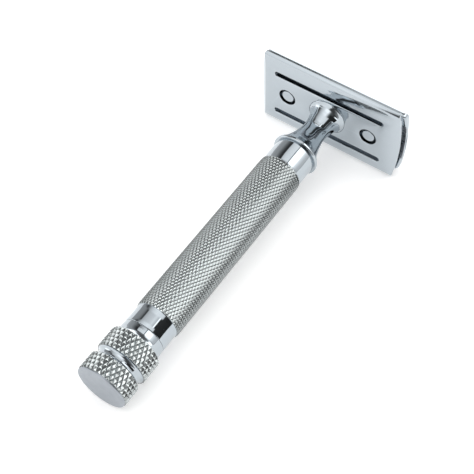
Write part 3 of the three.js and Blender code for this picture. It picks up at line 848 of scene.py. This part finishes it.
low = PLATE_UNDERSIDE - 1
platform_gap = -(BLADE_THICKNESS / 2 + FIT_GAP)
across_platform = [PLATFORM_HALF_WIDTH * (1 - i / 24) for i in range(25)]
platform = [(y, bow(y, platform_gap)) for y in across_platform]
guard_top = spline(
    [
        (PLATE_HALF_WIDTH, PLATE_RIM + GUARD_EDGE_HEIGHT), (12.1, PLATE_RIM + 0.43),
        (11.7, PLATE_RIM + 0.49), (11.2, PLATE_RIM + 0.4), (10.7, PLATE_RIM + 0.19),
        (10.3, PLATE_RIM + 0.13), (9.9, PLATE_RIM + 0.25),
    ],
    17,
)
roll_width, roll_rise = PLATE_HALF_WIDTH - GUARD_ROLL_START, PLATE_RIM - PLATE_UNDERSIDE
guard_roll = [
    (GUARD_ROLL_START + roll_width * t, PLATE_UNDERSIDE + roll_rise * t * t)
    for t in (i / 18 for i in range(19))
]
plate_section = mirrored([(0, PLATE_UNDERSIDE), *guard_roll, *guard_top, *platform])
plate_lengthwise = mirrored(
    [
        (0, low), (PLATE_FLAT_HALF_LENGTH, low), (PLATE_FLAT_HALF_LENGTH, PLATE_UNDERSIDE),
        (PLATE_HALF_LENGTH, PLATE_RIM + 0.25), (PLATE_HALF_LENGTH, PLATE_RIM + 0.55),
        (PLATFORM_HALF_LENGTH, PLATE_RIM + 0.55), (PLATFORM_HALF_LENGTH, CAP_TOP), (0, CAP_TOP),
    ]
)


def slot_outline(half_length, half_width, offset, steps=10):
    """A long opening with round ends."""
    reach = half_length - half_width
    ends = []
    for side in (1, -1):
        for i in range(steps + 1):
            angle = -math.pi / 2 + math.pi * i / steps
            out = reach + half_width * math.cos(angle)
            ends.append((side * out, offset + side * half_width * math.sin(angle)))
    return ends


SLOT_ROLL = 0.22
PIN_HOLE_ROLL = 0.12
ROLL_STEPS = 5


def flared(outline_at, opening):
    """A tool for an opening whose lower edge is rolled. outline_at(spread) gives the outline grown by
    spread, and opening is the roll's radius."""
    levels = [(low, opening), (PLATE_UNDERSIDE - 0.001, opening)]
    for i in range(1, ROLL_STEPS + 1):
        rise = math.sin(math.pi / 2 * i / ROLL_STEPS)
        levels.append((PLATE_UNDERSIDE + opening * rise, opening * (1 - math.sin(math.acos(1 - rise)))))
    levels.append((CAP_TOP, levels[-1][1]))
    return loft([(height, outline_at(spread)) for height, spread in levels])


def slot_opening(side):
    def outline_at(spread):
        return slot_outline(SLOT_LENGTH / 2 + spread, SLOT_WIDTH / 2 + spread, side * SLOT_OFFSET)

    return flared(outline_at, SLOT_ROLL)


def pin_opening(side):
    def outline_at(spread):
        return circle(PIN_HOLE_RADIUS + spread, HOLE_STEPS, side * PIN_OFFSET)

    return flared(outline_at, PIN_HOLE_ROLL)


def post(radius, steps, bottom, top, x=0.0):
    """A round tool standing along the handle."""
    return prism(circle(radius, steps, x), bottom, top)


plate_outline = bulged_outline(
    PLATE_HALF_LENGTH, PLATE_CORNER_HALF_LENGTH, PLATE_HALF_WIDTH, PLATE_CORNER_RADIUS
)
plate_steps = [
    ("INTERSECT", prism(plate_lengthwise, -PLATE_HALF_WIDTH - 1, PLATE_HALF_WIDTH + 1, across_head)),
    ("INTERSECT", prism(plate_outline, low, CAP_TOP)),
]
for side in (-1, 1):
    plate_steps.append(("DIFFERENCE", slot_opening(side)))
    plate_steps.append(("DIFFERENCE", pin_opening(side)))
rivet_hole = post(RIVET_RADIUS + FIT_GAP, HOLE_STEPS, low, CAP_TOP)
foot_seat = post(FOOT_RADIUS + FIT_GAP, FOOT_SEAT_STEPS, low, PLATE_UNDERSIDE + FOOT_SEAT_DEPTH)
plate_steps += [("DIFFERENCE", rivet_hole), ("DIFFERENCE", foot_seat)]
plate_bar = prism(plate_section, -PLATE_HALF_LENGTH - 1, PLATE_HALF_LENGTH + 1, along_head)
plate_mesh = bevelled(combined(plate_bar, plate_steps), PLATE_EDGE_BEVEL)
finished(
    "guard_plate", plate_mesh, plate_chrome, "handle", ["base_plate"], sharp=24.0
)

# ---------------------------------------- blade


def blade_half_thickness(across):
    """Half the blade's thickness: full in the middle, ground down to a fine edge."""
    half = BLADE_THICKNESS / 2
    if abs(across) < GROUND_START:
        return half
    return half * max(0.12, (BLADE_HALF_WIDTH - abs(across)) / BLADE_GROUND_WIDTH)


flat_stations = np.linspace(-GROUND_START, GROUND_START, 41).tolist()
stations = [-BLADE_HALF_WIDTH, *flat_stations, BLADE_HALF_WIDTH]
blade_section = [(y, bow(y) - blade_half_thickness(y)) for y in stations]
blade_section += [(y, bow(y) + blade_half_thickness(y)) for y in reversed(stations)]
# One corner: the end tab with its cut corner, the hollow beside it and the start of the edge.
quarter = [
    (BLADE_HALF_LENGTH, TAB_HALF_WIDTH - 0.5),
    (BLADE_HALF_LENGTH - 0.15, TAB_HALF_WIDTH - 0.15),
    (BLADE_HALF_LENGTH - 0.5, TAB_HALF_WIDTH),
    (EDGE_HALF_LENGTH + 0.9, TAB_HALF_WIDTH + 0.05),
    (EDGE_HALF_LENGTH + 0.35, TAB_HALF_WIDTH + 0.3),
    (EDGE_HALF_LENGTH + 0.08, TAB_HALF_WIDTH + 0.9),
    (EDGE_HALF_LENGTH, TAB_HALF_WIDTH + 1.6),
    (EDGE_HALF_LENGTH, BLADE_HALF_WIDTH + 1),
]
blade_outline = quarter + [(-x, y) for x, y in reversed(quarter)]
blade_outline += [(-x, -y) for x, y in quarter] + [(x, -y) for x, y in reversed(quarter)]
long_slot = slot_outline(BLADE_SLOT_HALF_LENGTH, BLADE_SLOT_WIDTH / 2, 0.0)
blade_steps = [
    ("INTERSECT", prism(blade_outline, PLATE_RIM, CAP_TOP)),
    ("DIFFERENCE", prism(long_slot, PLATE_RIM, CAP_TOP)),
    ("DIFFERENCE", post(BLADE_STUD_OPENING_RADIUS, HOLE_STEPS, PLATE_RIM, CAP_TOP)),
]
for side in (-1, 1):
    hole = post(BLADE_PIN_OPENING_RADIUS, BLADE_HOLE_STEPS, PLATE_RIM, CAP_TOP, side * PIN_OFFSET)
    blade_steps.append(("DIFFERENCE", hole))
blade_bar = prism(blade_section, -BLADE_HALF_LENGTH - 1, BLADE_HALF_LENGTH + 1, along_head)
blade_mesh = combined(blade_bar, blade_steps)
finished("razor_blade", outward(blade_mesh), blade_steel, "blade", ["blade"], sharp=20.0)

# ---------------------------------------- cap

underside_gap = BLADE_THICKNESS / 2 + FIT_GAP
cap_lip = bow(CAP_HALF_WIDTH, underside_gap) + CAP_LIP_HEIGHT
CAP_FULLNESS = 2.4
CAP_SHOULDER = CAP_TOP - 1.8
CAP_END_ROUNDING = 5.2
CAP_END_EASE = 0.55
CAP_EDGE_BEVEL = 0.12
CAP_RIDGE_SOFTNESS = 0.25
CAP_ROWS = 72
CAP_COLUMNS = 96


def cap_back(x, y):
    """Height of the cap's back, where the fall across the head meets the fall at its ends."""
    across = min(1.0, abs(y) / CAP_HALF_WIDTH)
    over = cap_lip + (CAP_TOP - cap_lip) * (1 - across ** CAP_FULLNESS) ** (1 / CAP_FULLNESS)
    into_end = max(0.0, abs(x) - (CAP_HALF_LENGTH - CAP_END_ROUNDING)) / CAP_END_ROUNDING
    along = CAP_SHOULDER + (CAP_TOP - CAP_SHOULDER) * math.sqrt(max(0.0, 1 - min(1.0, into_end) ** 2))
    blend = max(CAP_RIDGE_SOFTNESS - abs(over - along), 0.0) / CAP_RIDGE_SOFTNESS
    return min(over, along) - blend * blend * CAP_RIDGE_SOFTNESS / 4


def end_ease(x, reach):
    """How far the underside rises where it rolls up into the cap's end."""
    into = max(0.0, abs(x) - reach + CAP_END_EASE) / CAP_END_EASE
    return CAP_END_EASE * (1 - math.sqrt(max(0.0, 1 - into * into)))


def cap_reach(y):
    """Half the cap's length at a distance across."""
    across = abs(y)
    corner = CAP_CORNER_RADIUS
    straight = CAP_HALF_WIDTH - corner
    if across <= straight:
        bulge = CAP_HALF_LENGTH - CAP_CORNER_HALF_LENGTH
        return CAP_CORNER_HALF_LENGTH + bulge * (1 - (across / straight) ** 2)
    into = (across - straight) / corner
    t = 1 - math.sqrt(max(0.0, 1 - into))
    return CAP_CORNER_HALF_LENGTH - corner * t * t


def cap_surface(point_at):
    """A bent box over a grid whose columns and rows crowd together at its rims. point_at(u, v, top)
    gives a point from the grid's place, -1 to 1 both ways."""
    work = bmesh.new()
    grid = {}
    for top in (0, 1):
        for r in range(CAP_ROWS + 1):
            v = -math.cos(math.pi * r / CAP_ROWS)
            for c in range(CAP_COLUMNS + 1):
                u = -math.cos(math.pi * c / CAP_COLUMNS)
                grid[top, r, c] = work.verts.new(point_at(u, v, top))
        for r in range(CAP_ROWS):
            for c in range(CAP_COLUMNS):
                corners = ((r, c), (r, c + 1), (r + 1, c + 1), (r + 1, c))
                work.faces.new([grid[top, *corner] for corner in corners])
    rim = [(0, c) for c in range(CAP_COLUMNS)]
    rim += [(r, CAP_COLUMNS) for r in range(CAP_ROWS)]
    rim += [(CAP_ROWS, c) for c in range(CAP_COLUMNS, 0, -1)]
    rim += [(r, 0) for r in range(CAP_ROWS, 0, -1)]
    for this, following in zip(rim, rim[1:] + rim[:1]):
        work.faces.new([grid[0, *this], grid[0, *following], grid[1, *following], grid[1, *this]])
    bmesh.ops.remove_doubles(work, verts=work.verts, dist=WELD_DISTANCE)
    return mesh_from(work, "cap_shell")


def cap_point(u, v, top):
    """A point of the cap's back or of its hollow underside."""
    y = CAP_HALF_WIDTH * v
    reach = cap_reach(y)
    x = reach * u
    z = cap_back(x, y) if top else bow(y, underside_gap) + end_ease(x, reach)
    return (x, y, z)


cap_mesh = rounded_edges(cap_surface(cap_point), CAP_EDGE_BEVEL, angle=38.0, segments=3)
finished("cap_shell", outward(cap_mesh), cap_chrome, "cap", ["cap"], sharp=60.0)

# ---------------------------------------- stud and pins under the cap


def threaded_stud():
    """The stud with its real helical thread, a tapered start and the flange that holds it."""
    per_turn = 10
    root, crest = STUD_RADIUS - 0.40, STUD_RADIUS
    thread_bottom, thread_top = STUD_BOTTOM + 0.35, 99.2
    count = int((thread_top - thread_bottom) / THREAD_PITCH * per_turn)
    angles = 2 * np.pi * np.arange(STUD_STEPS) / STUD_STEPS
    rows = [(0.0, STUD_BOTTOM), (root - 0.3, STUD_BOTTOM), (root, STUD_BOTTOM + 0.3)]
    for i in range(count + 1):
        z = thread_bottom + (thread_top - thread_bottom) * i / count
        phase = (z / THREAD_PITCH - angles / (2 * np.pi)) % 1.0
        ridge = np.clip(1.25 - np.abs(phase - 0.5) * 2.9, 0.0, 1.0)
        fade = min(1.0, (z - thread_bottom) / 1.0, (thread_top - z) / 0.6)
        rows.append((z, root + (crest - root) * ridge * max(0.0, fade), np.zeros(STUD_STEPS, int)))
    rows += [
        (root, 99.3), (root + 0.05, 99.5), (STUD_RADIUS, 99.7), (FLANGE_RADIUS - 0.1, 99.7),
        (FLANGE_RADIUS, 99.8), (FLANGE_RADIUS, FLANGE_TOP), (0.0, FLANGE_TOP),
    ]
    return rows


turned(
    "cap_stud_threaded", threaded_stud(), STUD_STEPS, turned_steel, "cap", ["cap_stud"],
    sharp=50.0,
)


def pin_profile():
    bottom = PLATE_UNDERSIDE + 0.3
    return [
        (0, bottom), (0.6, bottom), (1.2, bottom),
        *rounded((PIN_RADIUS, bottom), (1.2, bottom), (PIN_RADIUS, 97), 0.22, 6), (PIN_RADIUS, 98),
        (PIN_RADIUS, 99.4), (PIN_RADIUS, PIN_TOP), (0, PIN_TOP),
    ]


for end, word in ((-1, "left"), (1, "right")):
    turned(
        f"pin_{word}", pin_profile(), PIN_STEPS, pin_chrome, "cap",
        [f"locating_pin_{word}"], aside=end * PIN_OFFSET,
    )

# ---------------------------------------- inner pieces kept from the CAD

for node, material in {
    "lock_nut": turned_steel,
    "drive_rod": turned_steel,
    "socket": turned_brass,
    "cross_pin": turned_steel,
    "lower_bush": turned_brass,
    "retaining_ring": spring_steel,
    "wave_washer": spring_steel,
    "thrust_washer": white_nylon,
}.items():
    kept = frame["nodes"][node]
    kept.data.materials.clear()
    kept.data.materials.append(material)

# ---------------------------------------- camera

CAMERA_AIM = (6.6327, 2.0391, 0.0)
CAMERA_DISTANCE = 286.079
CAMERA_AZIMUTH = math.radians(-146.582)
CAMERA_ELEVATION = math.radians(52.3444)
CAMERA_ROLL = math.radians(1.2674)
CAMERA_LENS = 85.12


def camera_pose():
    """The camera's matrix in the row frame: it looks down at a point on the floor, slightly rolled."""
    level = math.cos(CAMERA_ELEVATION)
    x, y = level * math.cos(CAMERA_AZIMUTH), level * math.sin(CAMERA_AZIMUTH)
    back = np.array([x, y, math.sin(CAMERA_ELEVATION)])
    sideways = np.cross([0, 0, 1], back) / level
    upward = np.cross(back, sideways)
    pose = np.eye(4)
    pose[:3, 0] = sideways * math.cos(CAMERA_ROLL) + upward * math.sin(CAMERA_ROLL)
    pose[:3, 1] = upward * math.cos(CAMERA_ROLL) - sideways * math.sin(CAMERA_ROLL)
    pose[:3, 2] = back
    pose[:3, 3] = (np.array(CAMERA_AIM) + back * CAMERA_DISTANCE) * MM
    return Matrix(pose.tolist())


camera_data = bpy.data.cameras.new("camera")
camera_data.lens = CAMERA_LENS
camera_data.sensor_width = 36.0
camera_data.clip_start = 0.01
camera_data.clip_end = 10.0
camera = bpy.data.objects.new("camera", camera_data)
bpy.context.scene.collection.objects.link(camera)
camera.matrix_world = camera_pose()
bpy.context.scene.camera = camera

# ---------------------------------------- floor

FLOOR_SIZE = 6.0
FLOOR_DROP = 0.00005
FLOOR_GLOW = 0.36


def floor_paper():
    """Matt white paper, lifted a little by its own glow."""
    g = Surface("FloorPaper")
    point = g.node("ShaderNodeTexCoord").outputs["Object"]
    fibre = g.noise(point, 900.0, 3.0, 0.6)
    return g.finish({
        "Base Color": g.mix(fibre, colour(0.86, 0.86, 0.86), colour(0.88, 0.88, 0.88)),
        "Roughness": 0.9,
        "Specular IOR Level": 0.1,
        "Emission Color": colour(1.0, 1.0, 1.0),
        "Emission Strength": FLOOR_GLOW,
    })


reach = FLOOR_SIZE / 2
floor_corners = [(-reach, -reach, 0), (reach, -reach, 0), (reach, reach, 0), (-reach, reach, 0)]
floor_mesh = bpy.data.meshes.new("floor")
floor_mesh.from_pydata(floor_corners, [], [(0, 1, 2, 3)])
floor_mesh.materials.append(floor_paper())
floor = bpy.data.objects.new("floor", floor_mesh)
floor.location.z = -FLOOR_DROP
bpy.context.scene.collection.objects.link(floor)

# ---------------------------------------- light

# Studio: a bright tent with soft panels and dark gaps between them. The tent is cut across the razor's
# length into bands. A row of BANDS gives the lean towards the head (the X part of the direction) where
# the band takes over from the one before, the width of the blend between them, and a list of angles
# from straight up, in degrees towards -Y, each with the panels' brightness there.
PANEL_PEAK = 3.0
# Used twice in BANDS, before and after the band that starts at 0.469.
HEAD_END = [
    (-90, .75), (-76, .50), (-60, .46), (-48, .30), (-38, .15), (-25, .08), (-14, .12), (-4, .28),
    (6, .34), (12, .18), (18, .25), (24, .60), (30, 1.7), (52, 1.7), (58, 1.1), (68, .80),
    (78, .68), (90, .65),
]
BANDS = [
    (-1.0, 0.0, [
        (-90, 1.2), (-40, 1.40), (-8, 1.35), (2, 1.1), (7, .30), (14, .10), (45, .08), (70, .30),
        (90, .50),
    ]),
    (-0.40, 0.2, [
        (-90, 1.8), (-66, 1.5), (-58, .10), (-47, .30), (-38, .90), (-20, 1.3), (-8, 1.9),
        (12, 1.9), (20, 1.1), (26, .35), (33, .14), (60, .05), (76, .05), (82, .90), (90, .90),
    ]),
    (-0.16, 0.04, [
        (-90, 2.6), (-60, 2.4), (-46, 1.2), (-36, 1.0), (-20, 1.3), (-8, 1.9), (12, 1.9), (20, 1.1),
        (26, .35), (33, .14), (58, .05), (66, 1.4), (72, 3.0), (90, 3.0),
    ]),
    (-0.07, 0.04, [
        (-90, 2.2), (-68, 2.2), (-58, .12), (-50, .12), (-46, .35), (-38, .75), (-20, 1.3),
        (-8, 1.6), (8, 1.7), (18, 1.1), (26, .35), (33, .10), (40, .03), (90, .03),
    ]),
    (0.09, 0.05, [
        (-90, .60), (-56, .08), (-46, .30), (-36, .80), (-20, 1.2), (0, 1.5), (20, 1.4), (34, 1.3),
        (40, 1.0), (42, .06), (60, .03), (90, .03),
    ]),
    (0.26, 0.04, [
        (-90, .80), (-84, .46), (-63, .42), (-53, .32), (-46, .12), (-40, .08), (-36, .75),
        (-23, .95), (-3, 1.1), (12, 1.35), (18, 1.1), (25, .9), (28, 2.4), (31, 2.4), (33, .05),
        (86, .03), (90, .05),
    ]),
    (0.422, 0.015, HEAD_END),
    (0.469, 0.012, [
        (-90, .75), (-75, .50), (-60, .48), (-52, .34), (-42, .16), (-33, .05), (-25, .05),
        (-22, 1.0), (-10, 1.25), (13, 1.4), (15, 1.2), (16, .08), (18.5, .08), (20, 2.6), (50, 2.6),
        (56, 1.6), (66, 1.15), (76, .88), (90, .80),
    ]),
    (0.64, 0.05, HEAD_END),
    (0.77, 0.06, [
        (-90, 3.0), (-58, 3.0), (-42, 2.6), (-30, 1.2), (-20, .30), (0, .15), (25, .15), (45, .25),
        (57, .50), (66, 2.4), (76, 3.0), (90, 3.0),
    ]),
]


def panel_band(w, stops, place):
    """The panels' brightness along one band, as a share of the brightest. place runs from 0 at
    -90 degrees to 1 at 90."""
    made = w.node("ShaderNodeValToRGB", {"Fac": place})
    elements = made.color_ramp.elements
    while len(elements) > 1:
        elements.remove(elements[-1])
    for number, (angle, level) in enumerate(stops):
        at = (angle + 90) / 180
        element = elements[0] if number == 0 else elements.new(at)
        element.position = at
        element.color = (level / PANEL_PEAK,) * 3 + (1.0,)
    return made.outputs[0]


def studio():
    """The world: the tent that the metal mirrors, and plain white where the camera looks past it."""
    world = bpy.data.worlds.new("studio")
    bpy.context.scene.world = world
    world.use_nodes = True
    w = Nodes(world.node_tree)
    lean, y, z = w.parts(w.node("ShaderNodeTexCoord").outputs["Generated"])
    tilt = w.math("ARCTAN2", w.times(y, -1.0), w.math("MAXIMUM", z, 1e-4))
    place = w.math("ADD", w.times(tilt, 1 / math.pi), 0.5)
    light = None
    for start, width, stops in BANDS:
        band = panel_band(w, stops, place)
        if light is None:
            light = band
        else:
            light = w.mix(w.span(lean, start - width / 2, start + width / 2), light, band)
    panels = w.node("ShaderNodeBackground", {"Color": light, "Strength": PANEL_PEAK})
    plain = w.node("ShaderNodeBackground", {"Color": colour(1.0, 1.0, 1.0), "Strength": 1.0})
    seen = w.node("ShaderNodeLightPath").outputs["Is Camera Ray"]
    choice = w.node("ShaderNodeMixShader", {0: seen, 1: panels.outputs[0], 2: plain.outputs[0]})
    w.node("ShaderNodeOutputWorld", {"Surface": choice.outputs[0]})


# A large overhead softbox brightens the floor. The chrome doesn't mirror it.
SOFTBOX_SIZE = 1.6
SOFTBOX_HEIGHT = 1.1
SOFTBOX_POWER = 3.8
softbox_data = bpy.data.lights.new("softbox", "AREA")
softbox_data.shape = "SQUARE"
softbox_data.size = SOFTBOX_SIZE
softbox_data.energy = SOFTBOX_POWER
softbox = bpy.data.objects.new("softbox", softbox_data)
softbox.location = (0.0, 0.0, SOFTBOX_HEIGHT)
softbox.visible_glossy = False
softbox.visible_camera = False
bpy.context.scene.collection.objects.link(softbox)

studio()
bpy.context.scene.view_settings.view_transform = "Standard"
bpy.context.scene.view_settings.look = "None"
